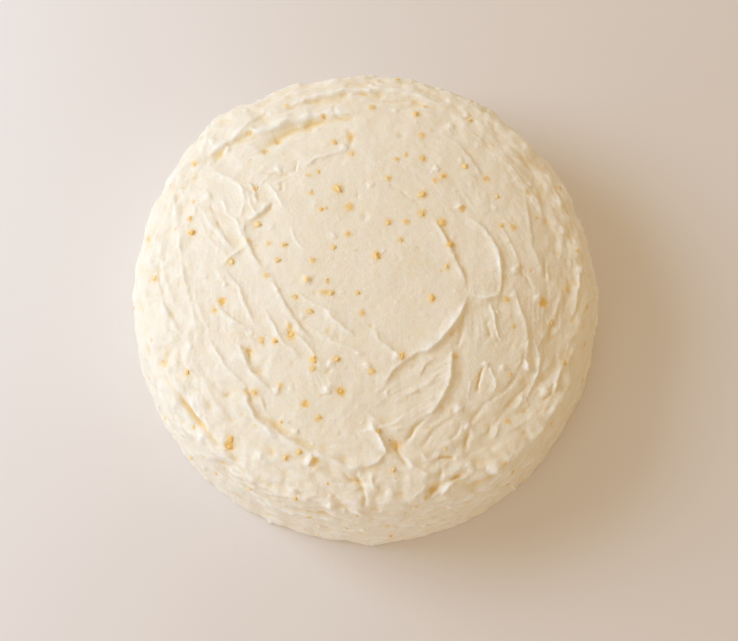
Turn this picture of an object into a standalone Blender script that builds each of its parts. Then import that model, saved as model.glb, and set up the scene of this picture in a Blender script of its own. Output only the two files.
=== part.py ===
"""Mimosa cake: a round layer cake spread all over with whipped cream that holds small bits of pineapple.

The cake is uncut, so it is one solid: a turned form, the marks that the spatula left in its cream, and
the bits that stand out of it. The meshes are in metres, with +Z up. The cake stands on the plane z = 0,
its axis is the Z axis, and -Y is its front.
"""

import math
from typing import NamedTuple

import bmesh
import bpy
import numpy as np
from mathutils import Matrix, Vector

MM = 0.001  # every size below is in millimetres

# The turned form
HEIGHT = 79.0
TOP_RADIUS = 109.0  # where the top turns into the shoulder
TOP_FALL = 15.3  # how much lower the top is there than at its middle
TOP_POWER = 2.4  # over 2, so that the middle is flatter than the arc of a circle
SHOULDER_BEND = 14.0
WALL_LEAN = math.radians(7.9)  # the wall runs out towards the foot
FOOT_BEND = 3.0
FOOT_ANGLE = math.radians(140)
PROFILE_STEP = 1.2
TURN_STEPS = 512

# The coat's finish
COAT_TRIANGLES = 7700
BIT_COUNT = 96
BIT_SIZES = (1.5, 2.7)  # from the smallest bit's radius to the largest one's
BIT_SUNK = 0.35  # share of a bit's radius that its centre lies under the cream
BIT_SPREAD = 166.0  # how far down the wall, measured over the cream, the bits reach
GOLDEN_ANGLE = math.pi * (3 - math.sqrt(5))
HILLS_ROUND = 64  # hills before their pattern comes round again

CREAM_COLOUR = (0.905, 0.825, 0.665, 1.0)


class Bulge(NamedTuple):
    """A stretch of the outline that stands out from the round, or lies inside it where it is negative."""

    azimuth: float
    size: float
    width: float


BULGES = (
    Bulge(142, 3.0, 24),
    Bulge(131, 2.0, 7),
    Bulge(182, 1.8, 18),
    Bulge(272, 1.0, 20),
    Bulge(335, -1.6, 16),
    Bulge(30, -1.2, 18),
)


class Mark(NamedTuple):
    """An edge that the spatula left: an arc through three points, on the cream laid out flat.

    A point's distance from the middle is its distance over the cream. Left and right are as the spatula
    travels. The lip is a crest, or a furrow where it is negative, and each flank is how far it runs out.
    The drop is how much lower the right side lies, or the left side where it is negative.
    """

    start: tuple
    middle: tuple
    end: tuple
    lip: float
    left_flank: float
    right_flank: float
    drop: float = 0.0


SMOOTH_MIDDLE = (
    Mark((51, -11), (45, 7), (33, 31), 0.5, 1.8, 1.4, 1.4),
    Mark((24, -44), (40, -31), (51, -11), 2.2, 3.2, 1.8, 1.2),
    Mark((3, -27), (11, -39), (24, -44), 0.4, 1.5, 1.5, -0.7),
    Mark((-62, 31), (-60, 14), (-50, 1), 0.7, 1.5, 2.2, -1.2),
    Mark((-50, 1), (-42, -15), (-25, -37), 0.5, 1.5, 2.0, -0.9),
    Mark((-61, 29), (-55, 32), (-49, 39), 0.7, 2.0, 1.2, 1.6),
)
LOWER_POOL = (
    Mark((20, -79), (37, -64), (42, -36), 2.2, 2.8, 1.6, 1.5),
    Mark((0, -71), (6, -76), (20, -79), 0.4, 1.5, 1.5, -0.8),
    Mark((36, -39), (14, -50), (7, -62), 0.4, 1.5, 1.5, -0.9),
    Mark((9, -68), (24, -61), (38, -50), 0.6, 1.5, 1.5, 0.2),
    Mark((21, -83), (41, -67), (47, -34), -1.2, 2.2, 2.2),
)
LEFT_POOL = (
    Mark((-61, -54), (-57, -69), (-43, -84), 0.6, 1.5, 1.5, -1.6),
    Mark((-54, -73), (-29, -89), (0, -98), 0.6, 1.5, 1.5, -1.4),
    Mark((-56, -60), (-48, -75), (-20, -88), -0.6, 3.0, 3.0),
    Mark((-10, -96), (1, -97), (10, -90), 1.0, 2.0, 1.5, 0.9),
    Mark((10, -92), (7, -84), (1, -76), 1.8, 2.6, 1.5, 0.4),
    Mark((-60, -37), (-60, -46), (-49, -55), 0.4, 1.5, 2.5, -1.8),
)
RIGHT_STROKES = (
    Mark((67, -9), (68, 6), (48, 33), 0.9, 1.8, 1.5, 0.2),
    Mark((50, -10), (59, -13), (68, -9), 1.2, 1.5, 1.8, 1.1),
    Mark((81, -46), (81, -25), (72, -5), 1.2, 2.0, 1.5, 0.8),
    Mark((85, -58), (89, -46), (84, -32), 0.9, 1.5, 1.5),
    Mark((96, 28), (84, 52), (62, 73), 0.6, 2.2, 1.5, 0.2),
    Mark((61, -62), (62, -53), (59, -46), 1.0, 1.5, 1.5),
    Mark((77, -44), (71, -58), (57, -75), -1.8, 2.2, 2.2),
    Mark((44, -63), (33, -77), (26, -89), -1.0, 1.8, 1.8),
    Mark((107, -22), (111, -8), (110, 10), 1.2, 2.4, 1.8),
)
LEFT_STROKES = (
    Mark((-94, 32), (-93, 2), (-80, -31), 0.5, 1.5, 1.8, -0.8),
    Mark((-107, 14), (-103, -12), (-90, -35), 0.5, 1.5, 1.8, -0.8),
    Mark((-79, 40), (-76, 26), (-64, 12), 0.6, 1.5, 1.8, -0.9),
    Mark((-73, 5), (-65, -8), (-56, -28), 1.0, 1.5, 2.5),
    Mark((-79, -33), (-73, -44), (-60, -58), 1.0, 1.5, 2.4),
)
FOLDS_AT_THE_EDGE = (
    Mark((-64, 70), (-38, 86), (0, 89), 1.0, 3.5, 2.0, 2.8),
    Mark((-56, 66), (-42, 79), (-16, 89), -1.6, 2.6, 4.0),
    Mark((-50, 89), (0, 106), (48, 93), 1.0, 3.5, 2.0, 2.2),
    Mark((-20, 93), (8, 99), (36, 93), -0.9, 4.0, 5.0),
    Mark((-84, 65), (-72, 72), (-58, 81), 0.5, 2.2, 1.8, 1.4),
    Mark((53, -101), (41, -105), (28, -115), -2.4, 2.4, 3.0),
    Mark((-42, -130), (-22, -131), (-4, -140), -1.8, 2.0, 2.4),
    Mark((-107, -41), (-96, -62), (-78, -82), -1.2, 2.0, 2.4),
    Mark((-97, -58), (-86, -76), (-69, -91), -1.8, 2.2, 2.6),
    Mark((48, -109), (86, -84), (113, -40), 3.2, 4.8, 2.4),
    Mark((34, -132), (56, -118), (80, -90), 2.2, 3.0, 1.8, 1.2),
)
MARKS = SMOOTH_MIDDLE + LOWER_POOL + LEFT_POOL + RIGHT_STROKES + LEFT_STROKES + FOLDS_AT_THE_EDGE

MARK_REACH = 8.0  # how far from its edge a drop evens out
MARK_ENDS = 0.25  # share of a mark's length over which each end dies away
MARK_UNEVENNESS = 0.45  # how much a mark's strength changes along it, over each of these lengths
MARK_UNEVEN_LENGTH = 6.0
MARK_BEND = 1.1  # how far marks stray from their arcs, to and fro within this distance
MARK_BEND_LENGTH = 13.0
EDGE_HALF_WIDTH = 1.2
TIP_BEND = 0.5


class Hills(NamedTuple):
    """Rounded hills and hollows all over the cream: how far apart they lie, and how high they stand.

    They stand higher by the next two sizes where the cream is rough and where the top meets the wall.
    """

    apart: float
    height: float
    rough: float
    edge: float
    seed: int


HILLS = (
    Hills(45, 1.0, 0, 0, 3),
    Hills(17, 0.4, 0, 1.0, 4),
    Hills(10, 0, 0, 0.5, 40),
    Hills(7, 0.1, 0.3, 0.2, 5),
)

# Where the cream changes, measured over it from the middle of the top
SMOOTH_CENTRE = (-5.0, 4.0)
ROUGH_FROM = (46.0, 64.0)  # measured from the centre of the smooth middle instead
FOLDS_FROM = (84.0, 104.0)
EDGE_FROM = (95.0, 120.0)
WALL_FROM = (128.0, 145.0)
BULGES_FROM = 60.0  # radius at which the bulges of the outline begin
FOOT_FROM = (2.0, 10.0)  # heights between which the cream's upward moves set in

FOLD_HEIGHT = 0.7
FOLD_WIDTH = 6.0
FOLD_DRIFT = 0.9  # how far folds stray, in fold widths, to and fro within this distance
FOLD_DRIFT_LENGTH = 21.0

# The top falls away earlier on the right than elsewhere
RIGHT_AZIMUTH = 345.0
RIGHT_WIDTH = 42.0
RIGHT_FALL = 2.8
RIGHT_FALL_FROM = (84.0, 108.0)
RIGHT_FALL_TO = (116.0, 138.0)

# Strokes round the wall, which nothing but a rule places
WALL_STROKES = 26
WALL_BAND = (133.0, 170.0)


def ease(low, high, value):
    """Rises smoothly from 0 to 1 while the value goes from low to high."""
    share = np.clip((value - low) / (high - low), 0, 1)
    return share * share * (3 - 2 * share)


def hills(x, y, seed):
    """Seeded gradient noise, about -1 to 1, with one hill or hollow for each unit of x and y."""
    size = HILLS_ROUND
    lean = np.random.default_rng(seed).uniform(0, math.tau, (size, size))
    column, row = np.floor(x).astype(int), np.floor(y).astype(int)
    right, up = x - column, y - row

    def corner(across, above):
        angle = lean[(column + across) % size, (row + above) % size]
        return np.cos(angle) * (right - across) + np.sin(angle) * (up - above)

    side, rise = ease(0, 1, right), ease(0, 1, up)
    bottom = corner(0, 0) * (1 - side) + corner(1, 0) * side
    top = corner(0, 1) * (1 - side) + corner(1, 1) * side
    return 1.5 * (bottom * (1 - rise) + top * rise)


def arc(radius, first, last, step):
    """Offsets along an arc that turns from one slope below level to another, from its first point."""
    count = max(2, round(radius * (last - first) / step))
    slopes = np.linspace(first, last, count + 1)[1:]
    return radius * (np.sin(slopes) - math.sin(first)), radius * (np.cos(slopes) - math.cos(first))


def turned_profile():
    """Radius and height of the bare form, from the middle of the top down to the foot."""
    radii = np.linspace(0, TOP_RADIUS, round(TOP_RADIUS / PROFILE_STEP) + 1)
    heights = HEIGHT - TOP_FALL * (radii / TOP_RADIUS) ** TOP_POWER
    top_slope = math.atan(TOP_FALL * TOP_POWER / TOP_RADIUS)
    wall_slope = math.pi / 2 - WALL_LEAN
    out, down = arc(SHOULDER_BEND, top_slope, wall_slope, PROFILE_STEP)
    radii = np.append(radii, radii[-1] + out)
    heights = np.append(heights, heights[-1] + down)
    out, down = arc(FOOT_BEND, wall_slope, FOOT_ANGLE, PROFILE_STEP)
    wall = np.linspace(heights[-1], -down[-1], round(heights[-1] / PROFILE_STEP))[1:]
    radii = np.append(radii, radii[-1] + (heights[-1] - wall) * math.tan(WALL_LEAN))
    heights = np.append(heights, wall)
    radii = np.append(radii, radii[-1] + out)
    heights = np.append(heights, heights[-1] + down)
    heights[-1] = 0
    return radii, heights


class LaidOut:
    """Finds how far over the cream a point of the bare form lies from the middle, and its slope there."""

    def __init__(self):
        self.radii, self.heights = turned_profile()
        steps = np.hypot(np.diff(self.radii), np.diff(self.heights))
        self.lengths = np.append(0, np.cumsum(steps))
        slopes = np.arctan2(-np.diff(self.heights), np.diff(self.radii))
        self.slopes = np.append(0, (slopes + np.append(slopes[1:], slopes[-1])) / 2)

    def length(self, radius, height):
        # Outwards along the profile the radius less the height only grows
        return np.interp(radius - height, self.radii - self.heights, self.lengths)

    def place(self, length):
        """Radius, height and slope of the bare form at a distance over the cream."""
        return tuple(np.interp(length, self.lengths, row) for row in (self.radii, self.heights, self.slopes))


def along_and_left(mark, x, y):
    """How far along a mark points lie, from 0 to 1, how far to its left they lie, and its length."""
    (ax, ay), (bx, by), (cx, cy) = mark.start, mark.middle, mark.end
    twice_area = 2 * (ax * (by - cy) + bx * (cy - ay) + cx * (ay - by))
    a, b, c = ax * ax + ay * ay, bx * bx + by * by, cx * cx + cy * cy
    centre_x = (a * (by - cy) + b * (cy - ay) + c * (ay - by)) / twice_area
    centre_y = (a * (cx - bx) + b * (ax - cx) + c * (bx - ax)) / twice_area
    way = math.copysign(1, twice_area)  # 1 where the arc turns to the left
    radius = math.hypot(ax - centre_x, ay - centre_y)
    first = math.atan2(ay - centre_y, ax - centre_x)
    sweep = way * (math.atan2(cy - centre_y, cx - centre_x) - first) % math.tau
    angle = way * (np.arctan2(y - centre_y, x - centre_x) - first) % math.tau
    angle = np.where(angle > sweep / 2 + math.pi, angle - math.tau, angle)
    return angle / sweep, way * (radius - np.hypot(x - centre_x, y - centre_y)), radius * sweep


def mark_height(mark, x, y, seed):
    """What one mark adds to the cream at each point."""
    along, left, length = along_and_left(mark, x, y)
    strength = ease(0, MARK_ENDS, along) * ease(0, MARK_ENDS, 1 - along)
    places = along * length / MARK_UNEVEN_LENGTH
    strength = strength * (1 + MARK_UNEVENNESS * hills(places, np.full_like(places, 0.5), seed))
    flank = np.where(left > 0, mark.left_flank, mark.right_flank)
    if mark.lip < 0:
        crest = np.exp(-((left / flank) ** 2))
    else:
        crest = np.exp(-(np.hypot(left, TIP_BEND) - TIP_BEND) / flank)
    half_width = EDGE_HALF_WIDTH * (0.7 + abs(mark.drop) / 2)
    side = 2 * ease(-half_width, half_width, left) - 1
    step = mark.drop / 2 * side * np.exp(-np.abs(left) / MARK_REACH)
    return strength * (mark.lip * crest + step)


def wall_strokes():
    """Long level marks round the wall, as a blade held upright leaves them."""
    draw = np.random.default_rng(11)
    strokes = []
    for number in range(WALL_STROKES):
        length = WALL_BAND[0] + (WALL_BAND[1] - WALL_BAND[0]) * draw.random()
        first = number * GOLDEN_ANGLE
        sweep = math.radians(draw.uniform(22, 48))
        drift = draw.uniform(-5, 5)
        points = []
        for share in (0, 0.5, 1):
            angle, reach = first + sweep * share, length + drift * share
            points.append((reach * math.cos(angle), reach * math.sin(angle)))
        strokes.append(Mark(*points, draw.uniform(0.4, 1.0), 2.2, 1.6, draw.uniform(-1.0, 1.0)))
    return strokes


def folds_round_the_edge(u, v):
    """Folds where the spatula turned over the edge of the top. They run along the edge."""
    length, turn = np.hypot(u, v), np.arctan2(v, u) / math.tau * HILLS_ROUND
    drift = FOLD_DRIFT * hills(u / FOLD_DRIFT_LENGTH, v / FOLD_DRIFT_LENGTH, 16)
    across = length / FOLD_WIDTH
    folds = hills(turn, across + drift, 17) + 0.5 * hills(turn * 2, across * 2 + drift, 18)
    return FOLD_HEIGHT * folds * ease(*FOLDS_FROM, length) * (1 - 0.4 * ease(*WALL_FROM, length))


def fall_on_the_right(u, v):
    """The top falls away earlier on the right than elsewhere."""
    length = np.hypot(u, v)
    away = (np.degrees(np.arctan2(v, u)) - RIGHT_AZIMUTH + 180) % 360 - 180
    part = np.exp(-((away / RIGHT_WIDTH) ** 2))
    return -RIGHT_FALL * part * ease(*RIGHT_FALL_FROM, length) * (1 - ease(*RIGHT_FALL_TO, length))


def cream_height(u, v):
    """How far the cream stands out from the bare form, at points of the cream laid out flat."""
    x = u + MARK_BEND * hills(u / MARK_BEND_LENGTH, v / MARK_BEND_LENGTH, 1)
    y = v + MARK_BEND * hills(u / MARK_BEND_LENGTH, v / MARK_BEND_LENGTH, 2)
    length = np.hypot(u, v)
    rough = ease(*ROUGH_FROM, np.hypot(u - SMOOTH_CENTRE[0], v - SMOOTH_CENTRE[1]))
    edge = ease(*EDGE_FROM, length) - 0.5 * ease(*WALL_FROM, length)
    height = folds_round_the_edge(u, v) + fall_on_the_right(u, v)
    for kind in HILLS:
        strength = kind.height + kind.rough * rough + kind.edge * edge
        height += strength * hills(x / kind.apart, y / kind.apart, kind.seed)
    for number, mark in enumerate((*MARKS, *wall_strokes())):
        height += mark_height(mark, x, y, 20 + number)
    return height


def bulge_size(angle):
    """How far the outline stands out from the round at each azimuth."""
    total = np.zeros_like(angle)
    for bulge in BULGES:
        away = (np.degrees(angle) - bulge.azimuth + 180) % 360 - 180
        total += bulge.size * np.exp(-((away / bulge.width) ** 2))
    return total


def spread_cream(points, laid_out):
    """Moves points of the bare form out to the face of the cream."""
    x, y, z = points.T
    radius, angle = np.hypot(x, y), np.arctan2(y, x)
    length = laid_out.length(radius, z)
    slope = laid_out.place(length)[2]
    raised = cream_height(length * np.cos(angle), length * np.sin(angle))
    # At the foot the cream moves only sideways, so that the base stays flat
    outward = radius + raised * np.sin(slope) + bulge_size(angle) * ease(BULGES_FROM, TOP_RADIUS, radius)
    upward = z + raised * np.cos(slope) * ease(*FOOT_FROM, z)
    return np.stack([outward * np.cos(angle), outward * np.sin(angle), upward], axis=1)


def link(mesh, name, collection):
    thing = bpy.data.objects.new(name, mesh)
    collection.objects.link(thing)
    return thing


def applied(thing):
    """Puts an object's modifiers into its mesh."""
    graph = bpy.context.evaluated_depsgraph_get()
    mesh = bpy.data.meshes.new_from_object(thing.evaluated_get(graph))
    thing.modifiers.clear()
    thing.data = mesh
    return thing


def turned_form(collection, laid_out):
    """The bare form: its profile turned round the Z axis, open underneath."""
    mesh = bpy.data.meshes.new("coat")
    corners = [(r * MM, 0, z * MM) for r, z in zip(laid_out.radii, laid_out.heights)]
    mesh.from_pydata(corners, [(n, n + 1) for n in range(len(corners) - 1)], [])
    form = link(mesh, "coat", collection)
    turn = form.modifiers.new("turn", "SCREW")
    turn.steps = turn.render_steps = TURN_STEPS
    turn.use_merge_vertices = True
    turn.merge_threshold = 0.00001
    return applied(form)


def cream_coat(collection, laid_out):
    """The coat with its marks, thinned where it is smooth and closed underneath."""
    coat = turned_form(collection, laid_out)
    points = np.empty(len(coat.data.vertices) * 3)
    coat.data.vertices.foreach_get("co", points)
    points = spread_cream(points.reshape(-1, 3) / MM, laid_out)
    coat.data.vertices.foreach_set("co", (points * MM).ravel())
    thin = coat.modifiers.new("thin", "DECIMATE")
    thin.ratio = COAT_TRIANGLES / (2 * len(coat.data.polygons))
    applied(coat)
    close_base(coat.data)
    return coat


def close_base(mesh):
    """Levels the open rim at the foot and fills it."""
    shape = bmesh.new()
    shape.from_mesh(mesh)
    rim = [edge for edge in shape.edges if edge.is_boundary]
    for edge in rim:
        for corner in edge.verts:
            corner.co.z = 0
    bmesh.ops.holes_fill(shape, edges=rim)
    bmesh.ops.recalc_face_normals(shape, faces=shape.faces)
    shape.to_mesh(mesh)
    shape.free()


def bit_places():
    """Places of the pineapple bits over the cream, spread evenly and then shaken."""
    draw = np.random.default_rng(5)
    for number in range(BIT_COUNT):
        length = BIT_SPREAD * math.sqrt((number + 0.5) / BIT_COUNT) + draw.uniform(-4, 4)
        angle = number * GOLDEN_ANGLE + draw.uniform(-0.04, 0.04)
        yield abs(length), angle, draw


def pineapple_bits(collection, laid_out):
    """Small uneven lumps, each sunk in the face of the cream."""
    for number, (length, angle, draw) in enumerate(bit_places()):
        radius, height, slope = laid_out.place(length)
        bare = np.array([[radius * math.cos(angle), radius * math.sin(angle), height]])
        size = draw.uniform(*BIT_SIZES)
        out = Vector((math.sin(slope) * math.cos(angle), math.sin(slope) * math.sin(angle), math.cos(slope)))
        centre = Vector(spread_cream(bare, laid_out)[0]) - out * size * BIT_SUNK
        stretch = Matrix.Diagonal((*(size * draw.uniform(0.75, 1.25, 3)), 1))
        turned = Matrix.Rotation(draw.uniform(0, math.tau), 4, Vector(draw.normal(size=3)).normalized())
        shape = bmesh.new()
        bmesh.ops.create_icosphere(shape, subdivisions=1, radius=1)
        bmesh.ops.transform(shape, matrix=Matrix.Translation(centre) @ turned @ stretch, verts=shape.verts)
        bmesh.ops.scale(shape, vec=(MM, MM, MM), verts=shape.verts)
        mesh = bpy.data.meshes.new(f"bit_{number}")
        shape.to_mesh(mesh)
        shape.free()
        link(mesh, mesh.name, collection)


def fuse(thing, others):
    """Joins a collection's objects to one object, and then removes them."""
    join = thing.modifiers.new("join", "BOOLEAN")
    join.operation = "UNION"
    join.operand_type = "COLLECTION"
    join.collection = others
    applied(thing)
    for other in list(others.objects):
        bpy.data.objects.remove(other)
    bpy.data.collections.remove(others)


def cream_material():
    """Whipped cream: pale ivory, dull and not metallic."""
    material = bpy.data.materials.new("whipped_cream")
    material.use_nodes = True
    shader = material.node_tree.nodes["Principled BSDF"]
    shader.inputs["Base Color"].default_value = CREAM_COLOUR
    shader.inputs["Roughness"].default_value = 0.55
    shader.inputs["Metallic"].default_value = 0.0
    return material


def new_collection(name):
    collection = bpy.data.collections.new(name)
    bpy.context.scene.collection.children.link(collection)
    return collection


def main():
    for thing in list(bpy.data.objects):
        bpy.data.objects.remove(thing)
    laid_out = LaidOut()
    cake = new_collection("mimosa_cake")
    bits = new_collection("bits")
    coat = cream_coat(cake, laid_out)
    coat.name = "frosted_cake"
    pineapple_bits(bits, laid_out)
    fuse(coat, bits)
    coat.data.materials.clear()
    coat.data.materials.append(cream_material())


main()
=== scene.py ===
"""The looks of the mimosa cake: whipped cream spread with a spatula, with bits of pineapple in it.

The coat of cream is one closed mesh. Its form is the turned one of the model, and every point of it is then
moved in or out by the marks that the spatula left. Sizes are in millimetres until a mesh is made, and an
azimuth is in degrees.
"""

import math
from typing import NamedTuple

import bmesh
import bpy
import numpy as np
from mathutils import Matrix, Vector


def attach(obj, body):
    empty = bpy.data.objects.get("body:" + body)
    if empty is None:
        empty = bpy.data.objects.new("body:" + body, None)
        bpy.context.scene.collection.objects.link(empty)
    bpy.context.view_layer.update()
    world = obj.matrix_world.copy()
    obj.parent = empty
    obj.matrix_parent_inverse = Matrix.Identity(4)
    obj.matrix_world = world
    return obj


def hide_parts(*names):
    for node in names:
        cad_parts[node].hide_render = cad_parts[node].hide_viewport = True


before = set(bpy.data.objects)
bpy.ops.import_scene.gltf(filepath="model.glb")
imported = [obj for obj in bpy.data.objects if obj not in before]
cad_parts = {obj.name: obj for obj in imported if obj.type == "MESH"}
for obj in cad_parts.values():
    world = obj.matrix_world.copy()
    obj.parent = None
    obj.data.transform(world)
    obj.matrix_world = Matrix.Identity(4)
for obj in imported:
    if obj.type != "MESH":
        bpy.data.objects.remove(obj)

MM = 0.001

# The turned form
HEIGHT = 79.0
TOP_RADIUS = 109.0  # where the top turns into the shoulder
TOP_FALL = 15.3  # how much lower the top is there than at its middle
TOP_POWER = 2.4  # over 2, so that the middle is flatter than the arc of a circle
SHOULDER_BEND = 14.0
WALL_LEAN = math.radians(7.9)  # the wall runs out towards the foot
FOOT_BEND = 3.0
FOOT_ANGLE = math.radians(140)
PROFILE_STEP = 0.55
TURN_STEPS = 1400
COAT_TRIANGLES = 194000
GOLDEN_ANGLE = math.pi * (3 - math.sqrt(5))
HILLS_ROUND = 64  # hills before their pattern comes round again


class Bulge(NamedTuple):
    """A stretch of the outline that stands out from the round, or lies inside it where it is negative."""

    azimuth: float
    size: float
    width: float


BULGES = (
    Bulge(142, 3.0, 24),
    Bulge(131, 2.0, 7),
    Bulge(182, 1.8, 18),
    Bulge(272, 1.0, 20),
    Bulge(335, -1.6, 16),
    Bulge(30, -1.2, 18),
)


class Mark(NamedTuple):
    """An edge that the spatula left: an arc through three points, on the cream laid out flat.

    A point's distance from the middle is its distance over the cream. Left and right are as the spatula
    travels. The lip is a crest, or a furrow where it is negative, and each flank is how far it runs out.
    The drop is how much lower the right side lies, or the left side where it is negative.
    """

    start: tuple
    middle: tuple
    end: tuple
    lip: float
    left_flank: float
    right_flank: float
    drop: float = 0.0


SMOOTH_MIDDLE = (
    Mark((51, -11), (45, 7), (33, 31), 0.65, 1.5, 0.8, 1.1),
    Mark((24, -44), (40, -31), (51, -11), 1.35, 2.6, 1.6, 0.6),
    Mark((3, -27), (11, -39), (24, -44), 0.45, 1, 1, -0.5),
    Mark((-62, 31), (-60, 14), (-50, 1), 0.65, 1, 2, -1.0),
    Mark((-50, 1), (-42, -15), (-25, -37), 0.55, 1, 1.5, -0.7),
    Mark((-22, -20), (-13, -28), (-4, -34), 0.65, 1, 1.2, 0.2),
    Mark((-38, -8), (-27, -17), (-12, -24), 0.45, 1, 1.2, 0.2),
    Mark((-33, -25), (-15, -37), (2, -45), 0.45, 1, 1.2, 0.2),
    Mark((10, 51), (20, 42), (29, 37), -0.25, 0.8, 0.8, 0.2),
    Mark((-38, 27), (-37, 19), (-29, 11), 0.35, 0.8, 0.8, 0.2),
)
FLAP = (
    Mark((-61, 29), (-55, 32), (-49, 39), 0.65, 1.5, 0.8, 1.5),
    Mark((-60, 52), (-58, 44), (-55, 37), 0.45, 1, 1, -0.6),
    Mark((-53, 51), (-47, 42), (-43, 33), 0.55, 1, 1, 0.3),
    Mark((-55, 55), (-46, 54), (-38, 54), -0.45, 1, 1, 0.2),
    Mark((-38, 54), (-37, 58), (-36, 63), -0.5, 1, 1),
    Mark((-33, 55), (-24, 63), (-7, 66), 0.5, 1.2, 1.2, 0.6),
    Mark((-10, 82), (-8, 75), (-9, 68), -0.6, 1.8, 1.8),
    Mark((-46, 44), (-44, 47), (-45, 50), -0.5, 1, 1, 0.3),
    Mark((-74, 44), (-73, 36), (-66, 30), 0.55, 1.2, 1.2, 0.3),
    Mark((-66, 30), (-63, 38), (-67, 47), 0.55, 1.2, 1.2),
    Mark((-80, 56), (-66, 48), (-62, 38), 0.55, 1.4, 1.6),
    Mark((-79, 40), (-78, 31), (-74, 25), -0.8, 1.2, 1.2),
    Mark((-68, 33), (-65, 23), (-61, 14), 0.7, 1, 1, 0.4),
    Mark((-62, 14), (-68, 11), (-73, 4), 0.7, 1, 1.2),
    Mark((-62, 46), (-59, 38), (-55, 32), 0.5, 0.8, 0.8),
    Mark((-87, 42), (-80, 28), (-68, 14), 0.4, 0.8, 0.8),
)
LOWER_POOL = (
    Mark((20, -79), (37, -64), (42, -36), 1.35, 2.4, 1.4, 0.8),
    Mark((0, -71), (6, -76), (20, -79), 0.45, 1, 1, -0.6),
    Mark((36, -39), (14, -50), (7, -62), 0.45, 1, 1, -0.7),
    Mark((37, -45), (28, -50), (27, -55), 0.35, 1, 1, -0.6),
    Mark((9, -68), (24, -61), (38, -50), 0.55, 1, 1.2, 0.2),
    Mark((14, -66), (24, -62), (32, -60), -0.25, 1, 1),
    Mark((21, -83), (41, -67), (47, -34), -0.25, 2, 2.2),
    Mark((48, -20), (47, -30), (44, -40), -0.5, 1.5, 1.5),
    Mark((20, -86), (24, -78), (38, -66), -0.5, 1.4, 1.4),
    Mark((14, -86), (17, -93), (22, -98), -0.8, 1.4, 1.4),
)
LEFT_POOL = (
    Mark((-61, -54), (-57, -69), (-43, -84), 0.5, 1.2, 1.2, -1.4),
    Mark((-54, -60), (-51, -68), (-43, -77), 0.35, 1, 1.5, -0.6),
    Mark((-54, -73), (-29, -89), (0, -98), 0.5, 1.2, 1.2, -1.2),
    Mark((-56, -60), (-48, -75), (-20, -88), -0.5, 3, 3),
    Mark((-10, -96), (1, -97), (10, -90), 0.95, 2, 1, 0.8),
    Mark((10, -92), (7, -84), (1, -76), 1.55, 2.5, 1.2, 0.3),
    Mark((-60, -37), (-60, -46), (-49, -55), 0.45, 1, 2, -1.4),
    Mark((-37, -30), (-28, -40), (-22, -50), 0.65, 1.2, 1.4),
    Mark((-60, -47), (-52, -56), (-44, -62), 0.35, 1, 1.5, -0.3),
    Mark((3, -100), (3, -106), (8, -109), 0.5, 1, 1),
    Mark((13, -96), (13, -101), (16, -106), 0.4, 1, 1),
    Mark((-4, -98), (-4, -104), (0, -109), -0.5, 1.2, 1.2),
    Mark((-64, -34), (-63, -41), (-60, -48), 0.5, 0.9, 0.9),
)
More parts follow.
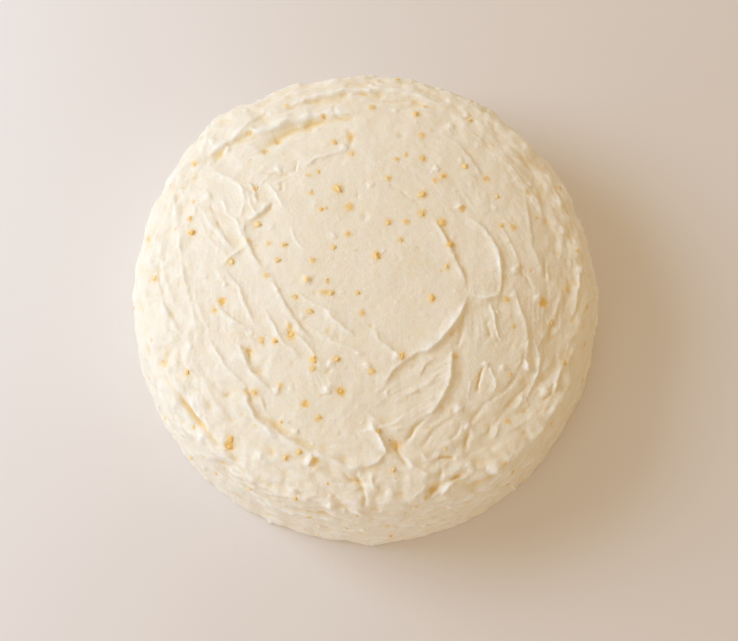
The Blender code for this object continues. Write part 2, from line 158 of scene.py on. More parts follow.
RIGHT_STROKES = (
    Mark((67, -9), (68, 6), (48, 33), 0.85, 1.6, 1.0, 0.2),
    Mark((50, -10), (59, -13), (68, -9), 0.85, 1.2, 1.6, 0.6),
    Mark((81, -46), (81, -25), (72, -5), 0.75, 1.8, 1.2, 0.35),
    Mark((85, -58), (89, -46), (84, -32), 0.75, 1.2, 1.0),
    Mark((80, -43), (82, -47), (83, -51), 1.15, 1.4, 1.4),
    Mark((96, 28), (84, 52), (62, 73), 0.55, 2, 1, 0.2),
    Mark((61, -14), (64, -24), (68, -36), 0.75, 1, 1),
    Mark((61, -23), (61, -29), (64, -35), -0.6, 1, 1),
    Mark((27, -89), (31, -94), (37, -89), 0.6, 0.9, 0.9),
    Mark((38, -113), (44, -106), (54, -102), 0.9, 1.0, 1.4, 1.2),
    Mark((58, -88), (70, -69), (92, -52), -0.5, 1.2, 1.5),
    Mark((18, -89), (23, -80), (35, -69), -0.6, 1.1, 1.3),
    Mark((26, -91), (32, -82), (48, -71), -0.45, 1.1, 1.3),
    Mark((26, -119), (35, -109), (37, -96), -0.6, 1.0, 1.2),
    Mark((50, -90), (51, -82), (53, -76), -0.45, 1.2, 1.2),
    Mark((41, -86), (45, -80), (47, -74), -0.5, 1.2, 1.2),
    Mark((63, -84), (62, -77), (66, -71), -0.4, 1.2, 1.2),
    Mark((18, -93), (25, -98), (34, -102), 0.85, 1.2, 1.5),
    Mark((35, -94), (39, -93), (44, -94), -0.7, 1, 1.2),
    Mark((107, -22), (111, -8), (110, 10), 1.05, 2.2, 1.5),
    Mark((92, 12), (91, 5), (93, -2), -0.7, 1.1, 1.1),
    Mark((95, -35), (95, -27), (97, -20), -0.7, 1.1, 1.1),
    Mark((89, -50), (95, -46), (100, -38), 0.75, 1.4, 1.2),
    Mark((96, -62), (100, -52), (106, -42), 0.95, 1.6, 1.2),
    Mark((74, 62), (84, 47), (92, 36), 0.4, 1.5, 1),
    Mark((68, 28), (74, 16), (79, 3), 0.45, 1.2, 1),
    Mark((82, 20), (87, 10), (89, 0), 0.45, 1.2, 1),
    Mark((76, 6), (82, -2), (86, -8), -0.5, 1.2, 1.2),
    Mark((49, -94), (52, -77), (64, -63), -0.6, 1.2, 1.5),
    Mark((60, -66), (68, -60), (78, -50), -0.5, 1.1, 1.4),
    Mark((53, -52), (51, -60), (50, -67), 0.5, 1, 1),
    Mark((66, -28), (66, -33), (68, -36), -0.4, 1, 1),
    Mark((74, -69), (78, -66), (80, -61), 0.6, 1, 1),
    Mark((63, -84), (66, -81), (62, -77), 0.4, 0.8, 0.8),
    Mark((37, -94), (36, -102), (30, -113), -0.5, 1.3, 1.3),
    Mark((62, -62), (64, -54), (61, -47), 0.6, 0.8, 0.8),
    Mark((56, -62), (56, -55), (60, -47), -0.9, 1.0, 1.0),
    Mark((89, -30), (89, -48), (77, -68), 0.5, 0.9, 0.9),
    Mark((97, -53), (94, -61), (89, -66), -0.6, 1.2, 1.2),
)
LEFT_STROKES = (
    Mark((-94, 32), (-93, 2), (-80, -31), 0.55, 1, 1.4, -0.5),
    Mark((-107, 14), (-103, -12), (-90, -35), 0.55, 1, 1.4, -0.5),
    Mark((-99, 48), (-99, 38), (-98, 26), 0.35, 1, 1.4, -0.6),
    Mark((-79, 40), (-76, 26), (-64, 12), 0.55, 1, 1.4, -0.6),
    Mark((-86, 36), (-80, 20), (-68, 9), 0.45, 1, 1.4),
    Mark((-73, 5), (-65, -8), (-56, -28), 0.85, 1, 2.5),
    Mark((-75, -13), (-69, -22), (-58, -28), 0.45, 1, 1.4, -0.8),
    Mark((-79, -33), (-73, -44), (-60, -58), 0.95, 1, 2.2),
    Mark((-88, -10), (-82, -22), (-79, -30), 0.65, 1, 1.6),
    Mark((-79, 5), (-73, -2), (-69, -10), 0.45, 1, 1.2),
    Mark((-50, -20), (-44, -32), (-30, -46), 0.6, 1, 1.6),
    Mark((-52, -16), (-47, -27), (-43, -35), 0.35, 0.8, 0.8),
)
FOLDS_AT_THE_EDGE = (
    Mark((-64, 70), (-38, 86), (0, 89), 0.9, 3.5, 2.0, 2.2),
    Mark((-56, 66), (-42, 79), (-16, 89), -1.2, 2.8, 4.5),
    Mark((-50, 89), (0, 106), (48, 93), 0.7, 3.5, 2.0, 1.5),
    Mark((-20, 93), (8, 99), (36, 93), -0.35, 4, 5),
    Mark((-84, 65), (-72, 72), (-54, 80), 0.6, 2.5, 1.5, 2.0),
    Mark((-6, 90), (-17, 92), (-15, 98), -0.4, 1.2, 1.2),
    Mark((-12, 101), (0, 106), (10, 105), 0.45, 1.5, 1.0, 0.4),
    Mark((53, -101), (41, -105), (28, -115), -2.2, 2.2, 3.0),
    Mark((-42, -130), (-22, -131), (-4, -140), -1.6, 1.8, 2.4),
    Mark((-8, -120), (0, -124), (8, -129), 0.8, 1.2, 1.2),
    Mark((-12, -98), (-6, -104), (3, -103), -0.6, 1.3, 1.3),
    Mark((-7, -102), (-1, -110), (-3, -119), -0.6, 1.4, 1.4),
    Mark((-107, -41), (-96, -62), (-78, -82), -0.9, 2, 2.4),
    Mark((-97, -58), (-86, -76), (-69, -91), -1.5, 2.2, 2.6),
    Mark((-71, -88), (-67, -96), (-58, -108), -0.8, 2, 2),
    Mark((48, -109), (86, -84), (113, -40), 2.2, 4.0, 1.6, 2.8),
    Mark((34, -132), (56, -118), (80, -90), 1.8, 3.2, 1.8, 1.6),
)
MARKS = (
    *SMOOTH_MIDDLE,
    *FLAP,
    *LOWER_POOL,
    *LEFT_POOL,
    *RIGHT_STROKES,
    *LEFT_STROKES,
    *FOLDS_AT_THE_EDGE,
)

MARK_STRENGTH = 1.3  # how many times as strong as listed the marks are
MARK_NARROWING = 0.85  # how wide their flanks are, as a share of what is listed
MARK_REACH = 7.0  # how far from its edge a drop evens out
MARK_ENDS = 0.25  # share of a mark's length over which each end dies away
MARK_UNEVENNESS = 0.45  # how much a mark's strength changes along it, over each of these lengths
MARK_UNEVEN_LENGTH = 6.0
MARK_BEND = 1.1  # how far marks stray from their arcs, to and fro within this distance
MARK_BEND_LENGTH = 13.0
MARK_WAVER = 0.5  # how far they stray besides, within this shorter distance
MARK_WAVER_LENGTH = 4.0
EDGE_HALF_WIDTH = 0.65  # of an edge, for each millimetre of its drop with the next size added
EDGE_DROP_ADDED = 0.7
TIP_BEND = 0.25  # how far the tip of a crest is rounded
MARK_SURROUNDINGS = 25.0  # a mark is worked out only this far beyond its three points


class Hills(NamedTuple):
    """Rounded hills and hollows all over the cream: how far apart they lie, and how high they stand.

    They stand higher by the next two sizes where the cream is rough and where the top meets the wall.
    """

    apart: float
    height: float
    rough: float
    edge: float
    seed: int


BROAD_HILLS = (
    Hills(45, 1.0, 0, 0, 3),
    Hills(17, 0.4, 0, 1.0, 4),
)
UNEVEN_HILLS = (
    Hills(10, 0, 0, 0.7, 40),
    Hills(7, 0.1, 0.2, 0.2, 5),
)
FINE_HILLS = (
    Hills(2.7, 0.06, 0.05, 0, 6),
)
HILLS_ON_THE_EDGE = (
    Hills(4.5, 0, 0, 0.28, 7),
    Hills(2.3, 0, 0, 0.18, 8),
)


class Calm(NamedTuple):
    """An oval of calmer cream: its middle, its half-widths and the share of the relief that it takes."""

    u: float
    v: float
    half_width_u: float
    half_width_v: float
    share: float


CALM_LEDGE = Calm(88, -88, 34, 34, 0.8)
CALM_LEFT_EDGE = Calm(-98, 0, 38, 50, 0.5)

# Where the cream changes, measured over it from the middle of the top
SMOOTH_CENTRE = (-5.0, 4.0)
ROUGH_FROM = (46.0, 64.0)  # measured from the centre of the smooth middle instead
FOLDS_FROM = (84.0, 104.0)
EDGE_FROM = (95.0, 120.0)
LESS_FINE_FROM = (122.0, 132.0)
WALL_FROM = (128.0, 145.0)
BULGES_FROM = 60.0  # radius at which the bulges of the outline begin
FOOT_FROM = (2.0, 10.0)  # heights between which the cream's upward moves set in

FOLD_HEIGHT = 0.7
FOLD_WIDTH = 6.0
FOLD_DRIFT = 0.9  # how far folds stray, in fold widths, to and fro within this distance
FOLD_DRIFT_LENGTH = 21.0

# Where the top falls away earlier
RIGHT_AZIMUTH = 345.0
RIGHT_WIDTH = 42.0
RIGHT_FALL = 2.8
RIGHT_FALL_FROM = (84.0, 108.0)
RIGHT_FALL_TO = (116.0, 138.0)

# Strokes round the wall, which nothing but a rule places
WALL_STROKES = 26
WALL_BAND = (133.0, 170.0)
WALL_SWEEPS = (22.0, 48.0)  # degrees
WALL_DRIFT = 5.0  # how much farther down or up a stroke may end than it starts
WALL_LIPS = (0.4, 1.0)
WALL_FLANKS = (2.2, 1.6)
WALL_DROP = 1.0

# Thin lines between the larger marks, which nothing but a rule places either
SCRAPE_COUNT = 130
SCRAPE_BAND = (64.0, 180.0)
SCRAPE_SWING = 0.35  # radians that a scrape may turn from the way round the cake
SCRAPE_HALF_LENGTHS = (6.0, 19.0)
SCRAPE_BENDS = (1 / 30, 4 / 15)  # how far its ends turn in, as shares of its half length
SCRAPE_SHAKE = 4.0
SCRAPE_LIPS = (0.15, 0.5)
SCRAPE_FLANKS = (0.8, 0.7)
SCRAPE_DROP = 0.5

# Fine ridges that the blade drew
STREAK_WIDTH = 2.6
STREAK_LENGTH = 20.0
STREAK_DIRECTIONS = 6
STREAK_FOCUS = 16  # how quickly the ridges of one direction die away as the heading turns from it
STREAK_SWING = 0.9  # radians that the heading swings, to and fro within this distance
STREAK_SWING_LENGTH = 34.0
STREAK_CREST = 0.35
STREAK_HEIGHT = 0.08
STREAK_HEIGHT_WHERE_ROUGH = 0.34
STREAK_PATCH = 20.0  # size of the patches that have stronger or weaker ridges

# Bits of pineapple that lie bare in a hollow of the cream: place and radius
BARE_BITS = (
    (-15, 45, 2.2), (-9, 35, 1.9), (-23.5, 33.5, 1.0), (-21, 34.5, 0.9), (-9.5, 20, 1.4), (-17, 13, 1.2),
    (-50, 16, 1.1), (-42, 15, 1.1), (-29, 43, 1.0), (-17, 72.5, 1.4), (-8.5, 76, 1.6), (-8, 65, 1.5),
    (-56, 27, 1.5), (-90.5, 32, 1.2), (-89.5, 24, 1.5), (3, 95, 1.5), (-25, 55, 1.1), (-30, 53, 1.1),
    (26, 91, 1.6), (55, 89, 1.4), (28.5, 77, 1.5), (29, 63, 1.4), (20, 65, 1.2), (15, 62, 1.2),
    (39.5, 53, 1.6), (35, 50.5, 1.3), (11, 51, 1.3), (28.5, 42.5, 1.8), (28, 32, 1.7), (38.5, 27, 2.0),
    (42, 15, 1.7), (11, 27, 1.4), (20, 27, 1.3), (17, 17, 0.9), (62, 53, 1.4), (67.5, 43, 1.0),
    (69, 26.5, 1.3), (75, 26, 1.5), (49, 35, 1.3), (5, 8.5, 1.8), (-27.5, 6, 1.3), (-45, 7, 1.2),
    (-69, 7, 1.4), (-51, -1, 1.3), (-30.5, -4, 1.4), (-20, -5, 1.2), (-21.5, -10.5, 1.4),
    (-18, -11, 1.3), (-4.5, -11, 1.1), (-36, -13, 1.3), (-73.5, -13.5, 1.7), (-28.5, -20.5, 1.4),
    (-2.5, -21.5, 1.3), (-38.5, -28, 1.3), (-37.5, -33, 1.8), (-46, -35, 1.2), (-53, -35, 1.6),
    (-26.5, -45, 1.6), (-27, -49.5, 1.4), (-15, -45, 1.5), (2.5, -51, 1.5), (-12.5, -61, 1.8),
    (-30.5, -67, 1.5), (-43, -58, 1.2), (-24, -74, 1.4), (-33.5, -90.5, 1.2), (-40.5, -93.5, 1.3),
    (-25.5, -94.5, 1.6), (-70, -87, 1.9), (-56, -61, 1.5), (32.5, -13.5, 1.6), (40.5, 3, 1.3),
    (17.5, -43.5, 1.7), (91, -13, 2.0), (71, -13, 1.5), (74.5, -27, 1.0), (44, -43, 1.2), (13, -99, 1.2),
)
# Lumps that are whole under the cream: place and radius
LUMPS = (
    (76, 3, 2.2), (88, -11, 2.0), (92, -60, 2.4), (46, -69, 2.3), (52, -98, 2.4), (60, -47, 1.6),
    (82, -47, 2.0), (44, 84, 2.2), (53, 92, 1.6), (-12, 69, 2.0), (-18, -47, 1.6), (-28, -94, 2.0),
    (-5, 124, 1.8), (3, 124.5, 1.8), (-52, 118, 1.6), (47, 36, 1.8), (36, 57, 1.8), (-72, -5, 1.3),
    (0, -48, 1.6), (-45, -60, 1.8), (-30, -4, 2.2), (-18, -118, 2.4), (-29, -95, 2.2), (-37, -110, 1.8),
    (113, 7, 1.9), (-96, 48, 1.8), (15, -43, 1.8), (-20, -60, 2.0), (10, -62, 1.3), (66, -20, 1.4),
)
# Deep hollows where fruit shows through: place and radius
PITS = (
    (15, -87, 3.0), (-59, -40, 2.0), (-73.5, -13.5, 1.6), (-60, -60.5, 1.4), (-38, -31.5, 1.8),
    (-12.5, -61, 1.6), (-69.5, -88, 2.2), (-30.5, -67, 1.5), (91.5, -13.5, 1.8), (-104, -44, 2.4),
    (-52, 67.5, 1.8), (-46, 74, 1.5),
)
LUMP_RISE = 0.55  # as a share of the lump's radius
PIT_DEPTH = 0.6  # as a share of the pit's radius
PIT_TINT = 0.6

# Bare bits outside the smooth middle, which nothing but a rule places
MORE_BITS = 110
MORE_BITS_BAND = (62.0, 172.0)
MORE_BITS_SHAKE = 5.0  # along the way from the middle
MORE_BITS_SWING = 0.06  # and round it, in radians
MORE_BITS_SIZES = (0.6, 1.5)
BIT_RISE = 0.25  # how far the cream rises over a bit, as a share of its radius
BIT_DEPTH = 0.8  # a bit's centre lies this share of its radius under the face of the cream
BIT_TINT = 0.9
BIT_TINT_REACH = 1.3  # how far the tint reaches, in radii of the bit
BIT_SHARES = (0.5, 1.5)  # between which shares of its radius a bit is long, broad and high
BIT_UNEVENNESS = 2.6
BIT_LUMP_SIZE = 1.9
RIM_WAVER = 0.8  # how far the rims of all small shapes stray, to and fro within this distance
RIM_WAVER_LENGTH = 1.9

# Lumps outside the smooth middle. Those low down break the outline
NUB_COUNT = 150
NUB_BAND = (60.0, 186.0)
NUB_SWING = 0.2  # radians
NUB_SIZES = (0.8, 2.2)
NUB_RISES = (0.2, 0.6)  # as shares of the radius

# Small lumps and dimples all over the cream
SPECK_COUNT = 750
SPECK_BAND = (0.0, 172.0)
SPECK_SHAKE = 5.0
SPECK_SIZES = (0.55, 1.85)
SPECK_RISES = (0.1, 0.45)  # as shares of the radius
SPECK_TINT = 0.9

# The field of heights that tells how deep a hollow is, with a cell for each millimetre
FIELD_HALF = 185
NEIGHBOURHOOD = 3

# Finishes, as the eye sees them
CREAM = "#F9EFD8"
# A painted highlight: whiter cream where it stands above its neighbours, on crests that catch the light
PAINTED_HIGHLIGHT_ON_CRESTS = "#FEF8E8"
# Painted shade and juice: yellower cream in hollows, where light scatters in the cream and juice gathers,
# and in clouds of juice
PAINTED_SHADE_AND_JUICE_YELLOW = "#F5DEA8"
CREAM_OVER_FRUIT = "#F8CF78"
PINEAPPLE_PALE = "#FCE7AC"
PINEAPPLE_RIPE = "#FBCE72"
FLOOR_PAINT = "#E9E3D9"
PAINTED_SHADE_AND_JUICE_DEPTHS = (0.18, 1.2)  # how far below its neighbours cream begins to turn yellow, and is yellow: painted shade for the light that scatters in its hollows, partly juice
PAINTED_HIGHLIGHT_DEPTHS = (-0.1, -0.8)  # the same for the painted highlight, whiter cream where it stands above its neighbours
JUICE_WIDTH = 9.0  # of the clouds where juice has gone into the cream
CURD_WIDTH = 3.5  # of its soft unevenness
CURD_HEIGHT = 1.0
GRAIN_WIDTH = 0.9  # of its finest grain, drawn coarser than the real one so that it shows
GRAIN_HEIGHT = 0.3
CREAM_LIGHT_DEPTH = 0.6  # how far light goes into it
RIPENESS_WIDTH = 9.0  # of the clouds that make some bits riper than others
PINEAPPLE_LIGHT_DEPTH = 0.4

# The camera stands where the photograph was taken from. Places and sizes in the studio are in metres
CAMERA_DISTANCE = 0.85
CAMERA_ELEVATION = math.radians(74.3)
CAMERA_TARGET = (0.001, -0.0033, 0.0)
CAMERA_LENS = 75.16  # millimetres, as is the sensor's width
CAMERA_SENSOR = 36.0
FLOOR_HALF = 3.0


class SoftBox(NamedTuple):
    """A square studio light that faces the cake. Its place is measured from the middle of the base."""

    name: str
    place: tuple
    side: float
    watts: float
    colour: str


SOFT_BOXES = (
    SoftBox("window", (-0.72, 0.2, 0.6), 0.55, 6.45, "#C8DEFF"),
    SoftBox("front", (-0.5, -0.8, 0.28), 0.6, 2.2, "#BCD4FF"),
    SoftBox("back", (0.1, 0.9, 0.45), 0.6, 0.9, "#D0E0FF"),
)
LIGHTS_TARGET = (0, 0, 0.05)
ROOM_LIGHT = "#FFE2BC"
ROOM_STRENGTH = 0.585


def ease(low, high, value):
    """Rises smoothly from 0 to 1 while the value goes from low to high."""
    share = np.clip((value - low) / (high - low), 0, 1)
    return share * share * (3 - 2 * share)


def hills(x, y, seed):
    """Seeded gradient noise, about -1 to 1, with one hill or hollow for each unit of x and y."""
    lean = np.random.default_rng(seed).uniform(0, math.tau, (HILLS_ROUND, HILLS_ROUND))
    lean_x, lean_y = np.cos(lean), np.sin(lean)
    column, row = np.floor(x).astype(int), np.floor(y).astype(int)
    right, up = x - column, y - row

    def corner(across, above):
        spot = (column + across) % HILLS_ROUND, (row + above) % HILLS_ROUND
        return lean_x[spot] * (right - across) + lean_y[spot] * (up - above)

    side, rise = ease(0, 1, right), ease(0, 1, up)
    bottom = corner(0, 0) * (1 - side) + corner(1, 0) * side
    top = corner(0, 1) * (1 - side) + corner(1, 1) * side
    return 1.5 * (bottom * (1 - rise) + top * rise)


def arc(radius, first, last, step):
    """Offsets along an arc that turns from one slope below level to another, from its first point."""
    count = max(2, round(radius * (last - first) / step))
    slopes = np.linspace(first, last, count + 1)[1:]
    return radius * (np.sin(slopes) - math.sin(first)), radius * (np.cos(slopes) - math.cos(first))


def turned_profile():
    """Radius and height of the bare form, from the middle of the top down to the foot."""
    radii = np.linspace(0, TOP_RADIUS, round(TOP_RADIUS / PROFILE_STEP) + 1)
    heights = HEIGHT - TOP_FALL * (radii / TOP_RADIUS) ** TOP_POWER
    top_slope = math.atan(TOP_FALL * TOP_POWER / TOP_RADIUS)
    wall_slope = math.pi / 2 - WALL_LEAN
    out, down = arc(SHOULDER_BEND, top_slope, wall_slope, PROFILE_STEP)
    radii = np.append(radii, radii[-1] + out)
    heights = np.append(heights, heights[-1] + down)
    out, down = arc(FOOT_BEND, wall_slope, FOOT_ANGLE, PROFILE_STEP)
    wall = np.linspace(heights[-1], -down[-1], round(heights[-1] / PROFILE_STEP))[1:]
    radii = np.append(radii, radii[-1] + (heights[-1] - wall) * math.tan(WALL_LEAN))
    heights = np.append(heights, wall)
    radii = np.append(radii, radii[-1] + out)
    heights = np.append(heights, heights[-1] + down)
    heights[-1] = 0
    return radii, heights


class LaidOut:
    """Finds how far over the cream a point of the bare form lies from the middle, and its slope there."""

    def __init__(self):
        self.radii, self.heights = turned_profile()
        steps = np.hypot(np.diff(self.radii), np.diff(self.heights))
        self.lengths = np.append(0, np.cumsum(steps))
        slopes = np.arctan2(-np.diff(self.heights), np.diff(self.radii))
        self.slopes = np.append(0, (slopes + np.append(slopes[1:], slopes[-1])) / 2)

    def place(self, length):
        """Radius, height and slope of the bare form at a distance over the cream."""
        return tuple(np.interp(length, self.lengths, row) for row in (self.radii, self.heights, self.slopes))


def along_and_left(mark, x, y):
    """How far along a mark points lie, from 0 to 1, how far to its left they lie, and its length."""
    (ax, ay), (bx, by), (cx, cy) = mark.start, mark.middle, mark.end
    twice_area = 2 * (ax * (by - cy) + bx * (cy - ay) + cx * (ay - by))
    a, b, c = ax * ax + ay * ay, bx * bx + by * by, cx * cx + cy * cy
    centre_x = (a * (by - cy) + b * (cy - ay) + c * (ay - by)) / twice_area
    centre_y = (a * (cx - bx) + b * (ax - cx) + c * (bx - ax)) / twice_area
    way = math.copysign(1, twice_area)  # 1 where the arc turns to the left
    radius = math.hypot(ax - centre_x, ay - centre_y)
    first = math.atan2(ay - centre_y, ax - centre_x)
    sweep = way * (math.atan2(cy - centre_y, cx - centre_x) - first) % math.tau
    angle = way * (np.arctan2(y - centre_y, x - centre_x) - first) % math.tau
    angle = np.where(angle > sweep / 2 + math.pi, angle - math.tau, angle)
    return angle / sweep, way * (radius - np.hypot(x - centre_x, y - centre_y)), radius * sweep


def mark_height(mark, x, y, seed):
    """What one mark adds to the cream at each point."""
    along, left, length = along_and_left(mark, x, y)
    unevenness = hills(along * length / MARK_UNEVEN_LENGTH, np.full_like(along, 0.5), seed)
    strength = ease(0, MARK_ENDS, along) * ease(0, MARK_ENDS, 1 - along)
    strength = MARK_STRENGTH * strength * (1 + MARK_UNEVENNESS * unevenness)
    flank = MARK_NARROWING * np.where(left > 0, mark.left_flank, mark.right_flank)
    if mark.lip < 0:
        crest = np.exp(-((left / flank) ** 2))
    else:
        crest = np.exp(-(np.hypot(left, TIP_BEND) - TIP_BEND) / flank)
    half_width = EDGE_HALF_WIDTH * (EDGE_DROP_ADDED + abs(mark.drop))
    side = 2 * ease(-half_width, half_width, left) - 1
    step = mark.drop / 2 * side * np.exp(-np.abs(left) / MARK_REACH)
    return strength * (mark.lip * crest + step)


def spread_evenly(count, band):
    """Distances from the middle and angles of places spread evenly over a band of the cream."""
    for number in range(count):
        yield band[0] + (band[1] - band[0]) * math.sqrt((number + 0.5) / count), number * GOLDEN_ANGLE


def point(length, angle):
    """The place on the cream laid flat at a distance from the middle and an angle."""
    return np.array([math.cos(angle), math.sin(angle)]) * length


def mostly_small(draw, sizes, power):
    """Draws a size between two, and the higher the power, the nearer to the smaller one."""
    return sizes[0] + (sizes[1] - sizes[0]) * draw.random() ** power


def wall_strokes():
    """Long level marks round the wall, as a blade held upright leaves them."""
    draw = np.random.default_rng(11)
    for number in range(WALL_STROKES):
        length = WALL_BAND[0] + (WALL_BAND[1] - WALL_BAND[0]) * draw.random()
        first = number * GOLDEN_ANGLE
        sweep = math.radians(draw.uniform(*WALL_SWEEPS))
        drift = draw.uniform(-WALL_DRIFT, WALL_DRIFT)
        points = [point(length + drift * share, first + sweep * share) for share in (0, 0.5, 1)]
        yield Mark(*points, draw.uniform(*WALL_LIPS), *WALL_FLANKS, draw.uniform(-WALL_DROP, WALL_DROP))


def scrapes():
    """Thin lines between the larger marks, which run round the cake as the spatula did."""
    draw = np.random.default_rng(19)
    for length, angle in spread_evenly(SCRAPE_COUNT, SCRAPE_BAND):
        heading = angle + math.pi / 2 + draw.uniform(-SCRAPE_SWING, SCRAPE_SWING)
        half_length = draw.uniform(*SCRAPE_HALF_LENGTHS)
        bend = draw.uniform(*SCRAPE_BENDS)
        middle = point(length, angle) + draw.uniform(-SCRAPE_SHAKE, SCRAPE_SHAKE, 2)
        ahead = point(half_length, heading)
        inwards = -point(bend * half_length, angle)
        points = middle - ahead + inwards, middle, middle + ahead + inwards
        lip = draw.uniform(*SCRAPE_LIPS)
        yield Mark(*points, lip, *SCRAPE_FLANKS, draw.uniform(-SCRAPE_DROP, SCRAPE_DROP))


def marks_in(x, y):
    """What all marks add to the cream. Each is worked out only near its own arc."""
    height = np.zeros_like(x)
    for number, mark in enumerate((*MARKS, *wall_strokes(), *scrapes())):
        points = np.array([mark.start, mark.middle, mark.end])
        low, high = points.min(0) - MARK_SURROUNDINGS, points.max(0) + MARK_SURROUNDINGS
        near = np.flatnonzero((x > low[0]) & (x < high[0]) & (y > low[1]) & (y < high[1]))
        height[near] += mark_height(mark, x[near], y[near], 20 + number)
    return height


def specks():
    """Small lumps and dimples all over the cream: place, radius, height and tint. A third are dimples."""
    draw = np.random.default_rng(8)
    for length, angle in spread_evenly(SPECK_COUNT, SPECK_BAND):
        place = point(length, angle) + draw.uniform(-SPECK_SHAKE, SPECK_SHAKE, 2)
        radius = mostly_small(draw, SPECK_SIZES, 3)
        height = radius * draw.uniform(*SPECK_RISES) * draw.choice((-1, 1, 1))
        yield *place, radius, height, mostly_small(draw, (0, SPECK_TINT), 4)


def bare_bits():
    """Place and radius of each bit that lies bare."""
    draw = np.random.default_rng(6)
    spots = list(BARE_BITS)
    for length, angle in spread_evenly(MORE_BITS, MORE_BITS_BAND):
        length += draw.uniform(-MORE_BITS_SHAKE, MORE_BITS_SHAKE)
        angle += draw.uniform(-MORE_BITS_SWING, MORE_BITS_SWING)
        spots.append((*point(length, angle), mostly_small(draw, MORE_BITS_SIZES, 2)))
    return np.array(spots)


def nubs():
    """Place, radius and rise of the lumps that nothing but a rule places."""
    draw = np.random.default_rng(23)
    for length, angle in spread_evenly(NUB_COUNT, NUB_BAND):
        angle += draw.uniform(-NUB_SWING, NUB_SWING)
        yield *point(length, angle), draw.uniform(*NUB_SIZES), draw.uniform(*NUB_RISES)


def bits_in(x, y):
    """What the bits of fruit do to the face of the cream, and how strongly they tint it, from 0 to 1."""
    height, tint = np.zeros_like(x), np.zeros_like(x)
    x = x + RIM_WAVER * hills(x / RIM_WAVER_LENGTH, y / RIM_WAVER_LENGTH, 12)
    y = y + RIM_WAVER * hills(x / RIM_WAVER_LENGTH, y / RIM_WAVER_LENGTH, 13)

    def near(spot, radius):
        """Which points lie near a spot, and how many of its radii they are away."""
        reach = 4 * radius
        inside = np.flatnonzero((abs(x - spot[0]) < reach) & (abs(y - spot[1]) < reach))
        return inside, np.hypot(x[inside] - spot[0], y[inside] - spot[1]) / radius

    for *spot, radius in bare_bits():
        inside, away = near(spot, radius)
        height[inside] += BIT_RISE * radius * np.exp(-(away ** 2))
        tint[inside] += BIT_TINT * np.exp(-((away / BIT_TINT_REACH) ** 3))
    lumps = [(*lump, LUMP_RISE) for lump in LUMPS]
    for *spot, radius, rise in (*lumps, *nubs()):
        inside, away = near(spot, radius)
        height[inside] += rise * radius * np.exp(-(away ** 3))
    for *spot, radius, rise, colour in specks():
        inside, away = near(spot, radius)
        height[inside] += rise * np.exp(-(away ** 2))
        tint[inside] += colour * np.exp(-(away ** 2))
    for *spot, radius in PITS:
        inside, away = near(spot, radius)
        height[inside] -= PIT_DEPTH * radius * np.exp(-(away ** 2))
        tint[inside] += PIT_TINT * np.exp(-(away ** 2))
    return height, np.clip(tint, 0, 1)


def streaks(x, y):
    """Fine ridges that run as the spatula went: round the cake, with slow swings to either side."""
    swing = STREAK_SWING * hills(x / STREAK_SWING_LENGTH, y / STREAK_SWING_LENGTH, 14)
    heading = np.arctan2(y, x) + math.pi / 2 + swing
    total, weights = np.zeros_like(x), np.full_like(x, 1e-6)
    for number in range(STREAK_DIRECTIONS):
        way = number * math.pi / STREAK_DIRECTIONS
        along = x * math.cos(way) + y * math.sin(way)
        across = y * math.cos(way) - x * math.sin(way)
        share = np.cos(heading - way) ** STREAK_FOCUS
        ridges = STREAK_CREST - np.abs(hills(across / STREAK_WIDTH, along / STREAK_LENGTH, 30 + number))
        total += share * ridges
        weights += share ** 2
    return total / np.sqrt(weights)


def folds_round_the_edge(u, v):
    """Folds where the spatula turned over the edge of the top. They run along the edge."""
    length, turn = np.hypot(u, v), np.arctan2(v, u) / math.tau * HILLS_ROUND
    drift = FOLD_DRIFT * hills(u / FOLD_DRIFT_LENGTH, v / FOLD_DRIFT_LENGTH, 16)
    across = length / FOLD_WIDTH
    folds = hills(turn, across + drift, 17) + 0.5 * hills(turn * 2, across * 2 + drift, 18)
    return FOLD_HEIGHT * folds * ease(*FOLDS_FROM, length) * (1 - 0.4 * ease(*WALL_FROM, length))


def fall_on_the_right(u, v):
    """The top falls away earlier on the right than elsewhere."""
    length = np.hypot(u, v)
    away = (np.degrees(np.arctan2(v, u)) - RIGHT_AZIMUTH + 180) % 360 - 180
    part = np.exp(-((away / RIGHT_WIDTH) ** 2))
    return -RIGHT_FALL * part * ease(*RIGHT_FALL_FROM, length) * (1 - ease(*RIGHT_FALL_TO, length))


def calmed(calm, u, v):
    """The share of the relief that a calm stretch leaves at each point."""
    across, up = (u - calm.u) / calm.half_width_u, (v - calm.v) / calm.half_width_v
    return 1 - calm.share * np.exp(-(across ** 2) - up ** 2)


def hilly(kinds, x, y, rough, edge):
    """The height of all hills of some kinds together."""
    total = np.zeros_like(x)
    for kind in kinds:
        strength = kind.height + kind.rough * rough + kind.edge * edge
        total += strength * hills(x / kind.apart, y / kind.apart, kind.seed)
    return total


